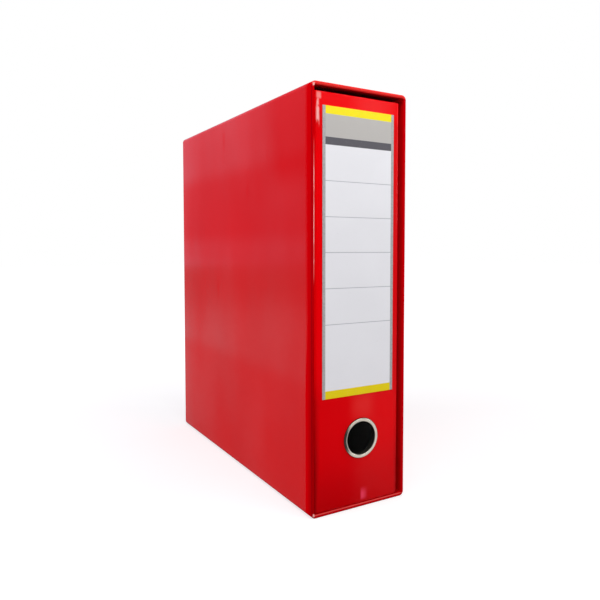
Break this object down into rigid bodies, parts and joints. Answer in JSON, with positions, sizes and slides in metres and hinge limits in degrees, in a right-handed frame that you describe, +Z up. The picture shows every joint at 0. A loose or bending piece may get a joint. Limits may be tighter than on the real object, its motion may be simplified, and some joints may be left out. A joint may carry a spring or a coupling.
{
  "type": "lever arch file",
  "caption": "Lever arch file in an open-fronted slipcase, with a spine label, a finger ring and a lever-operated arch mechanism inside.",
  "frame": {"origin": "middle of the slipcase's underside, on the surface it stands on", "axes": "+Z up; -Y out of the slipcase's mouth, the way the spine faces; +X to the right when the spine is read"},
  "size_m": [0.086, 0.29, 0.32],
  "materials": {
    "red_film": "red printed sheet with a satin film, light orange-peel and soft handling marks",
    "grey_board": "plain greyboard",
    "lining_paper": "uncoated off-white paper",
    "label_card": "smooth printed card",
    "nickel": "bright nickel plate",
    "steel": "zinc-plated sheet steel"
  },
  "bodies": {
    "slipcase": {"case_left_board": "grey_board", "case_right_board": "grey_board", "case_back_board": "grey_board", "case_top_board": "grey_board", "case_bottom_board": "grey_board", "case_side_wrap": "red_film", "case_top_wrap": "red_film", "case_bottom_wrap": "red_film"},
    "file": {"spine_board": "grey_board", "front_cover_board": "grey_board", "back_cover_board": "grey_board", "file_wrap": "red_film", "file_lining": "lining_paper", "spine_label": "label_card", "ring_eyelet": "nickel", "ring_washer": "nickel", "base_plate": "steel", "rivet_1": "steel", "rivet_2": "steel", "rivet_3": "steel", "rivet_4": "steel", "post_lower": "nickel", "post_upper": "nickel", "arch_spring": "steel", "lever_pivot": "steel"},
    "arch": {"arch": "nickel"},
    "lever": {"lever": "nickel", "roller_pin": "steel"},
    "roller": {"roller": "steel"},
    "compressor": {"compressor_bar": "nickel"}
  },
  "joints": [
    {"name": "file_slide", "type": "slide", "parent": "slipcase", "child": "file", "axis": [0, -1, 0], "range_m": [0, 0.29]},
    {"name": "lever_lift", "type": "hinge", "parent": "file", "child": "lever", "pos_m": [-0.0215, -0.08533, 0.1582], "axis": [0, 0, 1], "range_deg": [0, 75]},
    {"name": "arch_open", "type": "hinge", "parent": "file", "child": "arch", "pos_m": [-0.0325, -0.10233, 0.1582], "axis": [0, 0, 1], "range_deg": [-33.75, 0]},
    {"name": "roller_spin", "type": "hinge", "parent": "lever", "child": "roller", "pos_m": [-0.02597, -0.09016, 0.1582], "axis": [0, 0, 1], "continuous": true},
    {"name": "compressor_slide", "type": "slide", "parent": "file", "child": "compressor", "axis": [1, 0, 0], "range_m": [0, 0.04]}
  ],
  "couplings": [
    {"joint": "arch_open", "follows": "lever_lift", "ratio": -0.45}
  ]
}
